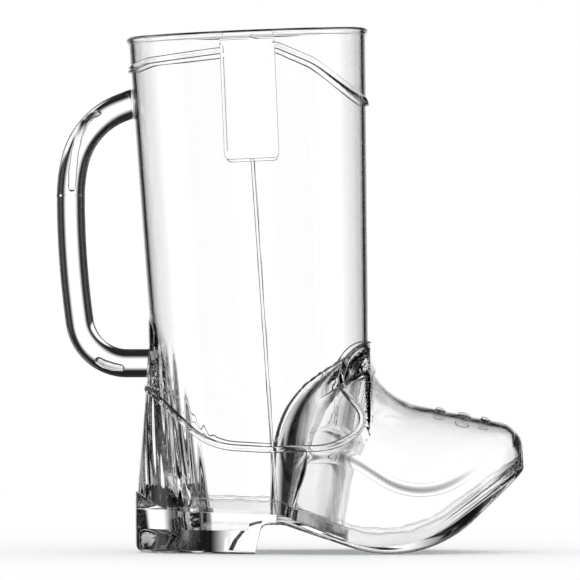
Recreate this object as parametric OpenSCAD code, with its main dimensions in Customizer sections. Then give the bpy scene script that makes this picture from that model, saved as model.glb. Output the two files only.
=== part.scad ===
// Clear plastic boot cup: a drinking cup moulded in the shape of a western boot.
// The shaft is the cup. Its wall runs on down to the sole inside the foot, with a front
// that leans back, the hollow toe in front of that and the thick heel counter behind.
// The sole with its heel is a second moulding, plugged and cemented in from below. A
// round loop handle is cemented to the back. Millimetres, +Z up, +X to the toe,
// mirrored about Y = 0.

/* [Shaft] */
// height of the rim above the ground, along the leaning axis
rim_z = 158.6; // [140:0.1:180]
// outer diameter just under the rim
rim_d = 73.3; // [60:0.1:90]
// draft of the shaft, each side
taper = 1.86; // [0.5:0.02:3]
// how far the shaft leans back
lean = 2.4; // [0:0.1:5]
// wall of the upper
wall = 1.8; // [1.2:0.1:3]
// height of the rounded lip
lip_h = 2; // [1:0.1:4]
// how far the lip stands proud
lip_proud = 0.35; // [0.1:0.05:0.8]

/* [Foot] */
// from the shaft axis at the ground to the tip of the toe
toe_reach = 78; // [65:0.5:90]
// height of the toe box at the tip
toe_z = 38.5; // [34:0.1:43]
// height of the vamp where it meets the shaft
instep_z = 48.1; // [45:0.1:53]
// fillet between vamp and shaft on the middle plane
instep_r = 20; // [10:0.5:24]
// rounding of the toe box
toe_r = 8.2; // [4:0.2:10]
// how far the foot stands out beyond the shaft, each side
flare = 4.1; // [2.5:0.1:6]
// how far in front of the shaft axis the foot is widest
widest_x = 16.5; // [12:0.5:24]
// how far in front of the shaft axis the foot leaves the shaft, at the seam
crease_x = 2; // [-2:0.5:5]
// how far the cup's front wall stands back from the shaft's line, at the ground
front_back = 9.5; // [7:0.1:11]
// backward lean of that wall
front_lean = 9.65; // [8:0.05:11]
// how much larger than the shaft's its radius is
front_flat = 4.1; // [3:0.1:6]
// thickness of that wall on the middle plane
front_t = 2.5; // [2:0.1:4]
// how much flatter its back is than its front
back_flat = 1; // [0:0.1:2]

/* [Heel and sole] */
// height of the seam at the heel seat
seat_z = 12.4; // [10:0.1:15]
// rise of the seam at the back of the heel
back_rise = 8.6; // [4:0.1:12]
// radius of the round heel counter
counter_r = 26; // [22:0.1:29]
// from the shaft axis to the back of the heel, at the ground
heel_reach = 41.8; // [39:0.1:45]
// forward slope of the counter
counter_slope = 5; // [3:0.1:7]
// how far the heel breast lies behind the shaft axis
breast_back = 4; // [0:0.5:10]
// thickness of the outsole at the ball
sole_t = 2.6; // [2:0.1:4]
// height of the sole at the tip of the toe
toe_spring = 24.7; // [20:0.1:26]
// wall between the heel seat and the breast
heel_wall = 1.6; // [1.2:0.1:2.5]
// depth of the heel seat below the seam
seat_depth = 5.4; // [2:0.1:6]
// ledge around the heel seat, inside the flange
seat_ledge = 0.4; // [0.2:0.1:2]
// height of the flanges that plug the upper
flange_h = 3.5; // [2:0.1:6]
// thickness of the flanges
flange_t = 1.5; // [1:0.1:2.5]
// cement film between sole unit and upper
bond = 0.25; // [0.1:0.05:0.5]

/* [Handle] */
// diameter of the bar
bar_d = 8.7; // [6:0.1:11]
// from the shaft axis at the ground to the middle of the bar
bar_reach = 60.4; // [56:0.1:68]
// from the rim down to the upper root
root_drop = 20.4; // [14:0.1:34]
// height of the lower arm
arm_z = 55.6; // [53.5:0.1:58]
// fall of the upper root from level
root_fall = 21; // [10:1:30]
// radius of the upper bend
bend_r = 23; // [15:0.5:28]
// radius of the lower bend
elbow_r = 14.6; // [10:0.2:18]

/* [Relief] */
// width of the raised piping
piping_w = 2.1; // [1.2:0.1:3]
// height of the raised work
relief = 0.7; // [0.3:0.05:1]
// width of a pull strap
strap_w = 16.6; // [10:0.2:22]
// length of a pull strap below the rim
strap_len = 39; // [25:0.5:60]
// width of the side seam bead
seam_w = 1.1; // [0.7:0.1:2]
// size of the toe flower's petals
petal_len = 9; // [5:0.5:11]

/* [Hidden] */
$fn = 96;
far = 120;
ARCH = 14;
mid_x = (toe_reach - bar_reach - bar_d / 2) / 2;
root_z = rim_z - root_drop;

// corners with radii become a smooth line of points
function unit(v) = v / norm(v);
function arc_pts(a, b, c, r, n) =
  let (u = unit(a - b), v = unit(c - b), w = acos(u * v), t = r / tan(w / 2),
       m = unit(u + v), o = b + m * r / sin(w / 2), p = b + u * t - o, q = b + v * t - o)
  [for (i = [0:n]) let (s = 180 - w, k = i / n)
    o + (sin(s * (1 - k)) * p + sin(s * k) * q) / sin(s)];
function rounded(c, r, n = 8) = [
  for (i = [0:len(c) - 1])
    each (i == 0 || i == len(c) - 1 || r[i] == 0) ? [c[i]]
      : arc_pts(c[i - 1], c[i], c[i + 1], r[i], n)];

// the shaft as a leaning cone
function shaft_x(z) = -z * tan(lean);
function shaft_r(z) = rim_d / 2 - (rim_z - z) * tan(taper);

// side view: seam, underside and ridge of the vamp
edge_t = 0.74 * sole_t;
low = [0.508 * toe_reach, -1.08 * sole_t];
SEAM = rounded([[-1.2 * heel_reach, seat_z + 1.4 * back_rise], [-0.742 * heel_reach, seat_z + 0.5],
  [0.0513 * toe_reach, seat_z - 0.5], low, low + ([toe_reach, toe_spring + edge_t] - low) * 1.1],
  toe_reach * [0, 0.128, 0.154, 0.449, 0], 9);
ball_r = 0.4744 * toe_reach;
ball = [ball_r, ball_r];
function touch(c, r, p, s) = atan2(p[1] - c[1], p[0] - c[0]) + s * acos(r / norm(p - c));
shank = [0.059 * toe_reach, seat_z - 1.4 * sole_t];
tip = [toe_reach, toe_spring];
BALL = [for (k = [-9:9]) let (a = -90 + (k < 0 ? -k * (touch(ball, ball_r, shank, 1) + 90)
  : k * (touch(ball, ball_r, tip, -1) + 90)) / 9) ball + ball_r * [cos(a), sin(a)]];
UNDER = concat(rounded([[-breast_back, 0], [-breast_back / 2, seat_z - 1.385 * sole_t], shank, BALL[0]],
  sole_t * [0, 0.92, 2.3, 0], 6), [for (k = [1:18]) BALL[k]], [tip + (tip - BALL[18]) * 0.4]);
front = shaft_x(instep_z) + shaft_r(instep_z);
RIDGE = rounded([[toe_reach, toe_spring + edge_t], [toe_reach - 0.9, toe_z], [front, instep_z],
  [shaft_x(90) + shaft_r(90) - 0.4, 90]], [0, toe_r, instep_r, 0], 9);

// the foot as arched sections: half width in plan, height where the arch springs, its crown
foot_half = shaft_r(seat_z) + flare;
tuck = (flare + 0.4) / pow(widest_x - crease_x, 2);
function plan_half(x) = x < widest_x ? foot_half - tuck * pow(widest_x - x, 2)
  : foot_half * pow(1 - pow(min((x - widest_x) / (toe_reach - widest_x), 1), 2.3), 1 / 1.8);
SPRING = rounded([[-30, 0.74 * toe_z], [0.308 * toe_reach, 0.79 * toe_z],
  [0.59 * toe_reach, 0.43 * toe_z], [0.897 * toe_reach, 0.78 * toe_z],
  [1.077 * toe_reach, 0.91 * toe_z]], toe_reach * [0, 0.18, 0.282, 0.256, 0], 6);
function crown(x) = min(lookup(x, RIDGE), instep_z + 23.3 - 0.28 * x);
function half_at(x, inset) = max(plan_half(min(x + inset, toe_reach)) - inset, 0.05);
function section(x, inset, base) =
  let (w = half_at(x, inset), top = crown(x + 0.3 * inset) - 1.1 * inset,
       low = min(lookup(x, SPRING), top - 6),
       arch = [for (i = [0:ARCH]) let (a = 90 * i / ARCH)
         [w * cos(a), low + (top - low) * pow(sin(a), 1.053)]])
  concat([[x, -w, base]], [for (q = arch) [x, -q[0], q[1]]],
    [for (i = [ARCH - 1:-1:0]) [x, arch[i][0], arch[i][1]]], [[x, w, base]]);
// stations are close at the instep and at the tip
bend_x = 0.62 * toe_reach;
STATIONS = concat([for (k = [0:7]) crease_x - 2 + (front + 0.8 - crease_x) * k / 8],
  [for (k = [0:9]) front - 1.2 + (bend_x - front + 1.2) * pow(k / 10, 1.6)],
  [for (k = [0:14]) bend_x + (toe_reach - 0.04 - bend_x) * sin(6 * k), toe_reach - 0.04]);
module loft(rings) {
  n = len(rings[0]);
  m = len(rings);
  polyhedron(points = [for (g = rings) each g], faces = concat(
    [for (j = [0:m - 2], i = [0:n - 1]) let (a = j * n + i, b = j * n + (i + 1) % n)
      each [[a, b, a + n], [b, b + n, a + n]]],
    [[for (i = [0:n - 1]) n - 1 - i], [for (i = [0:n - 1]) (m - 1) * n + i]]));
}
module foot(inset = 0, from = -far, to = far, base = -5)
  loft([for (x = STATIONS) if (x >= from && x <= to - max(inset, 0)) section(x, inset, base)]);

module leaning() rotate([0, -lean, 0]) children();
module sideways() rotate([90, 0, 0]) linear_extrude(2 * far, center = true) children();

// shaft with its lip, counter, and the front wall of the cup inside the foot
module shaft(proud = 0) leaning() rotate_extrude() {
  polygon([[0, -20], [shaft_r(-20) + proud, -20], [shaft_r(rim_z - lip_h) + proud, rim_z - lip_h],
    [0, rim_z - lip_h]]);
  if (proud == 0) lip_section();
}
module lip_section() {
  r = shaft_r(rim_z) + lip_proud;
  e = (wall + lip_proud) / 2;
  translate([0, rim_z - lip_h - 0.4]) square([r, lip_h + 0.4 - e]);
  translate([0, rim_z - e - 0.1]) square([r - e, e + 0.1]);
  translate([r - e, rim_z - e]) circle(e);
}
module counter(gap = 0) translate([counter_r - heel_reach, 0, 0]) rotate([0, counter_slope, 0])
  translate([0, 0, -6]) cylinder(r = counter_r + gap, h = 76);
front_x = shaft_r(0) - front_back;
front_r = shaft_r(seat_z) + front_flat;
module leaning_round(front, r) translate([front - r / cos(front_lean), 0, 0])
  rotate([0, front_lean, 0]) translate([0, 0, -40]) cylinder(r = r, h = 180);
module front_wall(gap) leaning_round(front_x + gap / cos(front_lean), front_r + gap);
module before_bore(gap) difference() {
  translate([0, -far, -30]) cube([far, 2 * far, instep_z + 42]);
  leaning_round(front_x - (front_t + gap) / cos(front_lean), front_r + back_flat - gap);
}
module boot(proud = 0) {
  shaft(proud);
  counter(proud);
  foot(-proud);
}
module bore() difference() {
  leaning() rotate_extrude() {
    e = (wall + lip_proud) / 2;
    r = shaft_r(rim_z) + lip_proud - 2 * e;
    polygon([[0, -22], [shaft_r(-22) - wall, -22], [r, rim_z - e],
      [r + e * 0.3, rim_z - e * 0.3], [r + e, rim_z], [r + e, rim_z + 9], [0, rim_z + 9]]);
  }
  before_bore(0);
}
module above_seam() polygon(concat(SEAM, [[far, far], [far, 2 * far], [-far, 2 * far], [-far, far]]));

// hollow of the toe, open below, ending at a solid root along the crease
ROOT = rounded([[0.3 * front_x, -20], [0.327 * front_x, 0.97 * seat_z], [0.527 * front_x, 0.65 * toe_z],
  [0.545 * front_x, 0.883 * toe_z], [0.682 * front_x, instep_z - 1.9],
  [1.045 * front_x, instep_z + 2.7], [1.5 * front_x, instep_z + 6.5]], [0, 10, 14, 20, 4, 20, 0], 6);
module before_root(gap) translate([gap, 0]) polygon(concat(ROOT, [[far, 90], [far, -20]]));
module toe_hollow() difference() {
  intersection() {
    foot(wall, crease_x, toe_reach, -8);
    sideways() before_root(0);
  }
  front_wall(0);
}

// raised work, drawn in side view
function under_rim(line) = [for (p = line) [p[0], rim_z - p[1]]];
SCALLOP_BACK = rounded(under_rim([[-50, 15], [-37, 9.3], [-8, 5.6]]), [0, 14, 0], 5);
SCALLOP_FRONT = rounded(under_rim([[-6, 3.2], [3, 5], [14, 9.6], [42, 30.6]]), [0, 6, 20, 0], 5);
VAMP = rounded([[-46, 56], [-33, 46.5], [-18, 32.6], [0, 31.6], [20, 32.2], [31, 39.6],
  [21.4, 51], [24, 61.6], [36, 64.6]], [0, 16, 22, 30, 22, 5.6, 5.6, 10, 0], 5);
function side_step(p, i, w) =
  let (d = unit(p[min(i + 1, len(p) - 1)] - p[max(i - 1, 0)])) [-d[1], d[0]] * w / 2;
module stroke(p, w) polygon(concat([for (i = [0:len(p) - 1]) p[i] + side_step(p, i, w)],
  [for (i = [len(p) - 1:-1:0]) p[i] - side_step(p, i, w)]));
seam_top = rim_z - strap_len + 5.4;
SIDE_SEAM = [[shaft_x(seam_top), seam_top], [3.2, 2]];
module side_seam() stroke(SIDE_SEAM, seam_w);
module strap() {
  low = rim_z - strap_len;
  translate([-strap_w / 2, low + 1.6]) square([strap_w, strap_len - lip_h - 2.4]);
  translate([1.6 - strap_w / 2, low]) square([strap_w - 3.2, 4]);
  for (s = [-1, 1]) translate([s * (strap_w / 2 - 1.6), low + 1.6]) circle(1.6, $fn = 24);
}
module petal(long, wide)
  polygon([for (a = [0:20:340]) [long / 2 * (1 + cos(a)), wide / 2 * sin(a)]]);
PETALS = [[0.6705, 0.5, 0.34], [0.763, 0.66, 0.46], [0.846, 0.48, 0.3]];
module toe_flower() for (s = [-1, 1], p = PETALS) translate([p[0] * toe_reach, s * 0.36 * petal_len])
  rotate(s * 90) petal(p[1] * petal_len, p[2] * petal_len);

module on_shaft() intersection() {
  shaft(relief);
  sideways() children();
}
module on_boot() intersection() {
  union() {
    shaft(relief);
    counter(relief);
    foot(-relief, to = bend_x);
  }
  children();
}
module on_vamp() intersection() {
  translate([0, 0, relief]) foot(from = front, to = toe_reach - 3, base = 20);
  translate([0, 0, 25]) linear_extrude(instep_z) children();
}

module upper() color([0.93, 0.95, 0.96, 0.35]) translate([-mid_x, 0, 0]) difference() {
  intersection() {
    union() {
      boot();
      on_shaft() stroke(SCALLOP_BACK, piping_w);
      on_shaft() stroke(SCALLOP_FRONT, piping_w);
      on_shaft() rotate(lean) strap();
      on_boot() {
        sideways() side_seam();
        sideways() stroke(VAMP, piping_w);
      }
      on_vamp() toe_flower();
    }
    sideways() above_seam();
  }
  bore();
  toe_hollow();
}

// sole unit: the boot's own outline, with the side view of the sole
function shifted(line, dz) = [for (p = line) [p[0], p[1] + dz]];
function back_to_front(line) = [for (i = [len(line) - 1:-1:0]) line[i]];
module side_of_sole() polygon(concat(shifted(SEAM, -0.1), [[toe_reach + 12, toe_spring + 16]],
  back_to_front(UNDER),
  [[2 - heel_reach, 0], [0.5 - heel_reach, 0.6], [0.1 - heel_reach, 1.8], [-1.2 * heel_reach, 1.8]]));
module seam_band(h) polygon(concat(shifted(SEAM, -1), back_to_front(shifted(SEAM, h))));
module bore_core(gap, low = 0) difference() {
  leaning() translate([0, 0, -low])
    cylinder(r1 = shaft_r(-low) - wall - gap, r2 = shaft_r(rim_z / 2) - wall - gap, h = rim_z / 2 + low);
  before_bore(gap);
}
module bore_ring(gap, t) intersection() {
  difference() {
    bore_core(gap);
    bore_core(gap + t, 5);
  }
  translate([-far, -far, -1]) cube(2 * far);
}
function toe_plan(inset) = [for (x = STATIONS) if (x <= toe_reach - inset - 0.3) [x, half_at(x, inset)]];
function mirrored(line) = concat(line, [for (i = [len(line) - 1:-1:0]) [line[i][0], -line[i][1]]]);
module toe_core(gap, low = 0) difference() {
  intersection() {
    translate([0, 0, -low]) linear_extrude(far + 2 * low) polygon(mirrored(toe_plan(wall + gap)));
    sideways() before_root(gap);
  }
  front_wall(gap);
}
module toe_ring(gap, t) difference() {
  toe_core(gap);
  toe_core(gap + t, 5);
}

module sole_unit() color([0.93, 0.95, 0.96, 0.35]) translate([-mid_x, 0, 0]) {
  difference() {
    intersection() {
      boot();
      sideways() side_of_sole();
    }
    intersection() {
      bore_core(bond + flange_t + seat_ledge);
      translate([-far, -far, seat_z - seat_depth]) cube([far - breast_back - heel_wall, 2 * far, far]);
    }
  }
  intersection() {
    union() {
      bore_ring(bond, flange_t);
      toe_ring(bond, flange_t);
    }
    sideways() seam_band(flange_h);
  }
}

module sole_bond() color([0.97, 0.97, 0.95, 0.6]) translate([-mid_x, 0, 0]) intersection() {
  union() {
    bore_ring(0, bond);
    toe_ring(0, bond);
  }
  sideways() polygon(concat(SEAM, back_to_front(shifted(SEAM, flange_h + 0.5))));
}

// loop of the handle, from the upper root round to the lower arm: straight runs [length, 0]
// and bends [radius, turn]
root_x = shaft_x(root_z) - shaft_r(root_z) + 4;
ease_r = 2 * bend_r;
ease = 14;
bow_r = 4.636 * bar_reach;
bow = 8;
eased = 90 - ease;
first = (root_x + bar_reach - bend_r * (sin(eased) - sin(root_fall)) - ease_r * (1 - sin(eased)))
  / cos(root_fall);
drop = root_z - arm_z - first * sin(root_fall) - bend_r * (cos(root_fall) - cos(eased))
  - ease_r * cos(eased) - bow_r * sin(bow) - elbow_r * cos(bow);
LOOP = [[first, 0], [bend_r, eased - root_fall], [ease_r, ease], [drop, 0], [bow_r, bow],
  [elbow_r, 90 - bow], [30, 0]];
function way(h) = [cos(h), sin(h)];
function bent(p, h, r, a) = p + r * [sin(h + a) - sin(h), cos(h) - cos(h + a)];
function trace(p, h, i = 0) = i == len(LOOP) ? [[p, h]]
  : let (r = LOOP[i][0], a = LOOP[i][1], n = ceil(abs(a) / 6))
    a == 0 ? concat([[p, h]], trace(p + r * way(h), h, i + 1))
      : concat([for (k = [0:n - 1]) [bent(p, h, r, a * k / n), h + a * k / n]],
          trace(bent(p, h, r, a), h + a, i + 1));
BAR = [for (q = trace([root_x, root_z], 180 + root_fall)) [for (k = [0:27])
  let (c = bar_d / 2 * cos(k * 360 / 28), y = bar_d / 2 * sin(k * 360 / 28))
  [q[0][0] - sin(q[1]) * c, y, q[0][1] + cos(q[1]) * c]]];
module loop() loft(BAR);
module seat_of_handle(gap) {
  leaning() cylinder(r1 = shaft_r(0) + gap, r2 = shaft_r(rim_z) + gap, h = rim_z);
  counter(gap);
}

module handle() color([0.95, 0.96, 0.97, 0.35]) translate([-mid_x, 0, 0]) difference() {
  loop();
  seat_of_handle(bond);
}

module handle_bonds() color([0.97, 0.97, 0.95, 0.6]) translate([-mid_x, 0, 0]) difference() {
  intersection() {
    loop();
    seat_of_handle(bond);
  }
  seat_of_handle(0);
}

upper();
handle();
handle_bonds();
sole_unit();
sole_bond();
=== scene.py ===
"""Looks of the clear plastic boot cup: smooth, closed solids of each piece in the shared
frame, clear plastic and cement, a pale floor and a bright field with dark sides."""
import math

import bmesh
import bpy
import numpy as np
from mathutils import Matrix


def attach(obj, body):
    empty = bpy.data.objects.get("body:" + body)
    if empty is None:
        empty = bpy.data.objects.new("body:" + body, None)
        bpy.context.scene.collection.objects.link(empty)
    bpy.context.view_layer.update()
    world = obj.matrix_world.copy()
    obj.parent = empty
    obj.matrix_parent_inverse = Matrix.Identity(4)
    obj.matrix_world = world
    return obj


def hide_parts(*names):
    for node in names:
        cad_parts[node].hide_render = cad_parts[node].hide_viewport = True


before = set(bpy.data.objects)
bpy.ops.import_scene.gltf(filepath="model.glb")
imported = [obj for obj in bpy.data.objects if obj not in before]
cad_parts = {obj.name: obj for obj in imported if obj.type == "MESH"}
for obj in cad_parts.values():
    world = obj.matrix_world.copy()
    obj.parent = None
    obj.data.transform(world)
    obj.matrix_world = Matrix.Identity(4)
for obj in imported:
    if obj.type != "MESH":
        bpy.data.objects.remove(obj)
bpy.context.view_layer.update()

# sizes of the part, mm and degrees; x = 0 on the shaft axis at the ground
RIM_Z, RIM_D, TAPER, LEAN, WALL = 158.6, 73.3, math.radians(1.86), math.radians(2.4), 1.8
LIP_H, LIP_PROUD = 2.0, 0.35
TOE_REACH, TOE_Z, INSTEP_Z, INSTEP_R, TOE_R = 78.0, 38.5, 48.1, 20.0, 8.2
FOOT_HALF, WIDEST_X, TUCK, BLEND = 36.0, 16.5, 0.0214, 1.6
FRONT_R, FRONT_X, FRONT_SLOPE, FRONT_T, FRONT_BACK_R = 36.0, 22.0, math.radians(9.65), 2.5, 37.0
SEAT_Z, BACK_RISE, COUNTER_R, HEEL_REACH = 12.4, 8.6, 26.0, 41.8
COUNTER_SLOPE, BREAST_BACK, SOLE_T, TOE_SPRING = math.radians(5), 4.0, 2.6, 24.7
HEEL_WALL, SEAT_DEPTH, SEAT_LEDGE, FLANGE_H, FLANGE_T, BOND = 1.6, 5.4, 0.4, 3.5, 1.5, 0.25
BAR_D, BAR_REACH, ROOT_Z, ARM_Z, ROOT_FALL = 8.7, 60.4, 138.2, 55.6, math.radians(21)
BEND_R, ELBOW_R = 23.0, 14.6
PIPING_W, RELIEF, STRAP_W, STRAP_LEN, SEAM_W, PETAL = 2.1, 0.7, 16.6, 39.0, 1.1, 9.0
MID_X = (TOE_REACH - BAR_REACH - BAR_D / 2) / 2
# forms of the scene alone: height from which rows lie level, radius of the sole's lower edge, depth of
# sink marks, and the thicker shoulder inside the toe shell with its reach below and above
LEVEL_Z, SOLE_ROUND, SINK = 28.0, 1.1, 0.1
SHOULDER, SHOULDER_LOW, SHOULDER_TOP = 1.3, 3.9, 8.0
# petals' distance from the ridge, radius of the squeezed-out cement and its distance from the wall,
# air round the cement and at the seam
PETAL_Y, BEAD_R, BEAD_IN, GAP, SEAM_GAP = 4.6, 0.27, 0.3, 0.03, 0.1
# half the width of blocks that take in the whole part
WIDE = 70.0
# edges that turn by more than this stay sharp
SHARP = math.radians(32)
# the photo: its pixels a side, mm in a pixel, and the pixel of the frame's origin
PHOTO, PX, ORIGIN_PX = 580, 0.30534, (268.7, 551.5)
# strength of the bright field that shows through the plastic
FIELD = 1.2


# Forms shared with the solids

def rounded(corners, radii, n=32):
    """A line through corners with arcs of the given radii."""
    c = [np.array(p, float) for p in corners]
    out = []
    for i, p in enumerate(c):
        if i in (0, len(c) - 1) or radii[i] == 0:
            out.append(p)
            continue
        u = (c[i - 1] - p) / np.linalg.norm(c[i - 1] - p)
        v = (c[i + 1] - p) / np.linalg.norm(c[i + 1] - p)
        w = math.acos(float(u @ v))
        m = (u + v) / np.linalg.norm(u + v)
        o = p + m * radii[i] / math.sin(w / 2)
        a, b = p + u * radii[i] / math.tan(w / 2) - o, p + v * radii[i] / math.tan(w / 2) - o
        s = math.pi - w
        out += [o + (math.sin(s * (1 - k)) * a + math.sin(s * k) * b) / math.sin(s)
                for k in np.linspace(0, 1, n + 1)]
    return np.array(out)


def shaft_x(z):
    """x of the shaft's axis at a height."""
    return -np.asarray(z, float) * math.tan(LEAN)


def shaft_r(z):
    """Outer radius of the cup at a height along its axis."""
    return RIM_D / 2 - (RIM_Z - np.asarray(z, float)) * math.tan(TAPER)


def cone_r(t, z, more=0.0):
    """Level radius of the leaning shaft at angle t, grown by more."""
    h = z * math.cos(LEAN) - (shaft_x(z) + shaft_r(z) * np.cos(t)) * math.sin(LEAN)
    return (shaft_r(h) + more) / np.sqrt(1 - (np.cos(t) * math.sin(LEAN)) ** 2)


EDGE_T = 0.74 * SOLE_T
LOW = np.array([0.508 * TOE_REACH, -1.08 * SOLE_T])
SEAM = rounded([[-1.2 * HEEL_REACH, SEAT_Z + 1.4 * BACK_RISE], [-0.742 * HEEL_REACH, SEAT_Z + 0.5],
                [0.0513 * TOE_REACH, SEAT_Z - 0.5], LOW,
                LOW + (np.array([TOE_REACH, TOE_SPRING + EDGE_T]) - LOW) * 1.1],
               [0, 0.128 * TOE_REACH, 0.154 * TOE_REACH, 0.449 * TOE_REACH, 0])
RIDGE = rounded([[TOE_REACH, TOE_SPRING + EDGE_T], [TOE_REACH - 0.9, TOE_Z],
                 [float(shaft_x(INSTEP_Z) + shaft_r(INSTEP_Z)), INSTEP_Z],
                 [float(shaft_x(90) + shaft_r(90)) - 0.4, 90]], [0, TOE_R, INSTEP_R, 0])
BALL_R = 0.4744 * TOE_REACH
SHANK = np.array([0.059 * TOE_REACH, SEAT_Z - 1.4 * SOLE_T])
TIP = np.array([TOE_REACH, TOE_SPRING])


def touch(p, s):
    """Angle at which a line from p meets the round ball of the sole."""
    d = p - BALL_R
    return math.atan2(d[1], d[0]) + s * math.acos(BALL_R / np.linalg.norm(d))


BALL = np.array([[BALL_R + BALL_R * math.cos(a), BALL_R + BALL_R * math.sin(a)] for a in np.concatenate(
    [np.linspace(touch(SHANK, 1), -math.pi / 2, 25), np.linspace(-math.pi / 2, touch(TIP, -1), 40)[1:]])])
BREAST = rounded([[-BREAST_BACK, 0], [-BREAST_BACK / 2, SEAT_Z - 1.385 * SOLE_T], SHANK, BALL[0]],
                 [0, 0.92 * SOLE_T, 2.3 * SOLE_T, 0], 12)
UNDER = np.concatenate([BREAST, BALL[1:], [TIP + (TIP - BALL[-1]) * 0.4]])


def seam_z(x):
    """Height of the seam between upper and sole."""
    return np.interp(x, SEAM[:, 0], SEAM[:, 1])


# height from which the sides of the foot arch over to the ridge
SPRING = rounded([[-30, 28.5], [24, 30.5], [46, 16.5], [70, 30], [84, 35]], [0, 14, 22, 20, 0])


def ridge_z(x):
    """Height of the foot's ridge, under a sloping limit beside the shaft."""
    k = np.argsort(RIDGE[:, 0], kind="stable")
    z = np.interp(x, RIDGE[k, 0], RIDGE[k, 1], left=90)
    return np.where(x > TOE_REACH, -50, np.minimum(z, 71.4 - 0.28 * x))


def plan_half(x):
    """Half width of the foot in plan."""
    u = np.clip((x - WIDEST_X) / (TOE_REACH - WIDEST_X), 0, 1)
    front = FOOT_HALF * (1 - u ** 2.3) ** (1 / 1.8)
    return np.where(x < WIDEST_X, FOOT_HALF - TUCK * (WIDEST_X - x) ** 2, front)


def foot_half(x, z, d):
    """Half width of the foot's section at x and z, inset by d."""
    top = ridge_z(x + 0.3 * d) - 1.1 * d
    low = np.minimum(np.interp(x, SPRING[:, 0], SPRING[:, 1]), top - 6)
    v = np.clip((z - low) / np.maximum(top - low, 0.01), 0, 1)
    return np.maximum(plan_half(np.minimum(x + d, TOE_REACH)) - d, 0) * np.sqrt(1 - v ** 1.9)


def foot_r(t, z, d=0.0):
    """Level radius of the foot about the shaft's axis, found by halving."""
    t, z = np.broadcast_arrays(np.asarray(t, float), np.asarray(z, float))
    lo, hi = np.full(t.shape, 4.0), np.full(t.shape, 110.0)
    for _ in range(40):
        r = (lo + hi) / 2
        inside = r * np.sin(t) < foot_half(shaft_x(z) + r * np.cos(t), z, d)
        lo, hi = np.where(inside, r, lo), np.where(inside, hi, r)
    return np.where(t >= math.pi / 2, 0, (lo + hi) / 2)


def inner_r(t, z):
    """Level radius of the toe shell's inside about the shaft's axis."""
    return foot_r(t, z, WALL)


def front_wall_r(t, z):
    """Level radius, about the shaft's axis, of the back of the cup's leaning front wall."""
    k = math.cos(FRONT_SLOPE)
    x = FRONT_X + z * math.tan(FRONT_SLOPE) - (FRONT_T + FRONT_BACK_R) / k - shaft_x(z)
    c, y = np.cos(t) * k, np.sin(t)
    a, b = c * c + y * y, c * x * k
    return (b + np.sqrt(np.maximum(b * b - a * ((x * k) ** 2 - FRONT_BACK_R ** 2), 0))) / a


def counter_x(z):
    """x of the heel counter's axis at a height."""
    return -HEEL_REACH + COUNTER_R + np.asarray(z, float) * math.tan(COUNTER_SLOPE)


def counter_r(t, z):
    """Level radius of the heel counter about the shaft's axis."""
    d = counter_x(z) - shaft_x(z)
    q = np.maximum(COUNTER_R ** 2 - (d * np.sin(t)) ** 2, 0)
    return np.where(t <= math.pi / 2, 0, d * np.cos(t) + np.sqrt(q))


def outer_r(t, z):
    """Level radius of the boot's outside at angle t (0 to pi) from the toe."""
    a, b = cone_r(t, z) - 0.04, np.maximum(foot_r(t, z), counter_r(t, z))
    k = np.where(t > math.pi / 2, 2.0, BLEND)
    return np.maximum(a, b) + np.maximum(k - np.abs(a - b), 0) ** 2 / (4 * k)


def on_seam(t, k, radius):
    """Height at angle t, a share k of the way from the seam to LEVEL_Z."""
    z = np.full_like(t, 14.0)
    for _ in range(12):
        s = seam_z(shaft_x(z) + radius(t, z) * np.cos(t))
        z = s + k * (LEVEL_Z - s)
    return z


# Finishes

def srgb(code):
    """Linear colour from a hex code as seen on screen."""
    out = []
    for i in (0, 2, 4):
        c = int(code[i:i + 2], 16) / 255
        out.append(c / 12.92 if c <= 0.04045 else ((c + 0.055) / 1.055) ** 2.4)
    return (*out, 1.0)


def add_node(tree, kind, inputs=None, **settings):
    """A new node with its settings; each input gets a value or a link from another node."""
    n = tree.nodes.new(kind)
    for key, value in settings.items():
        setattr(n, key, value)
    for key, value in (inputs or {}).items():
        if isinstance(value, bpy.types.NodeSocket):
            tree.links.new(value, n.inputs[key])
        else:
            n.inputs[key].default_value = value
    return n


def clear(name, colour, ior, shade):
    """A clear, polished material; its shadow on the floor is only a light grey."""
    m = bpy.data.materials.new(name)
    m.use_nodes = True
    tree = m.node_tree
    body = tree.nodes["Principled BSDF"]
    body.inputs["Base Color"].default_value = srgb(colour)
    body.inputs["IOR"].default_value = ior
    body.inputs["Roughness"].default_value = 0.0
    body.inputs["Transmission Weight"].default_value = 1.0
    through = add_node(tree, "ShaderNodeBsdfTransparent", {"Color": srgb(shade)})
    path = add_node(tree, "ShaderNodeLightPath")
    mix = add_node(tree, "ShaderNodeMixShader", {
        "Fac": path.outputs["Is Shadow Ray"], 1: body.outputs["BSDF"], 2: through.outputs["BSDF"]})
    tree.links.new(mix.outputs["Shader"], tree.nodes["Material Output"].inputs["Surface"])
    return m


# general-purpose polystyrene from a polished mould: water clear, with dark, sharp edges
PLASTIC = clear("clear_styrene", "FFFFFF", 1.57, "F4F6F6")
# solvent cement that set clear; the IOR is under a real one's, so that the thin film shows as a fine line
CEMENT = clear("dried_solvent_cement", "FFFFFF", 1.3, "F0F0EE")


# Meshes

def place_mesh(name, me):
    """A new object for a closed mesh, with its faces turned outwards."""
    bm = bmesh.new()
    bm.from_mesh(me)
    bmesh.ops.recalc_face_normals(bm, faces=bm.faces)
    bm.to_mesh(me)
    bm.free()
    ob = bpy.data.objects.new(name, me)
    bpy.context.scene.collection.objects.link(ob)
    return ob


def in_frame(points):
    """Metres in the shared frame, from mm about the foot of the shaft's axis."""
    return ((points.reshape(-1, 3) - [MID_X, 0, 0]) * 0.001).tolist()


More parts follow.
